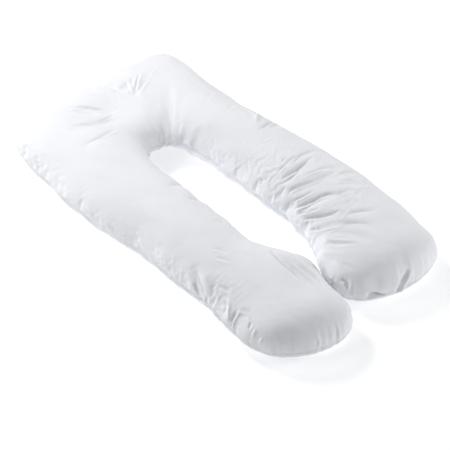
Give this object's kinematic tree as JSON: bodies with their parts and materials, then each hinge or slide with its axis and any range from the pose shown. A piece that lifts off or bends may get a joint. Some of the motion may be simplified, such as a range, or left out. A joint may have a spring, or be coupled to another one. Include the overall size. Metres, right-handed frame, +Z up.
{
  "type": "pregnancy pillow",
  "caption": "U-shaped full-length body pillow in plain white cloth, filled and closed by one seam round its edge, lying flat with soft folds.",
  "frame": {"origin": "on the surface it lies on, under the centre of its outline", "axes": "+Z up, +Y towards the closed end of the U where the head lies, +X towards the right arm"},
  "size_m": [0.7818, 1.4112, 0.1787],
  "materials": {
    "white_cloth": "matt plain-woven cloth"
  },
  "bodies": {
    "root": {"filled_u_body": "white_cloth"}
  },
  "joints": []
}
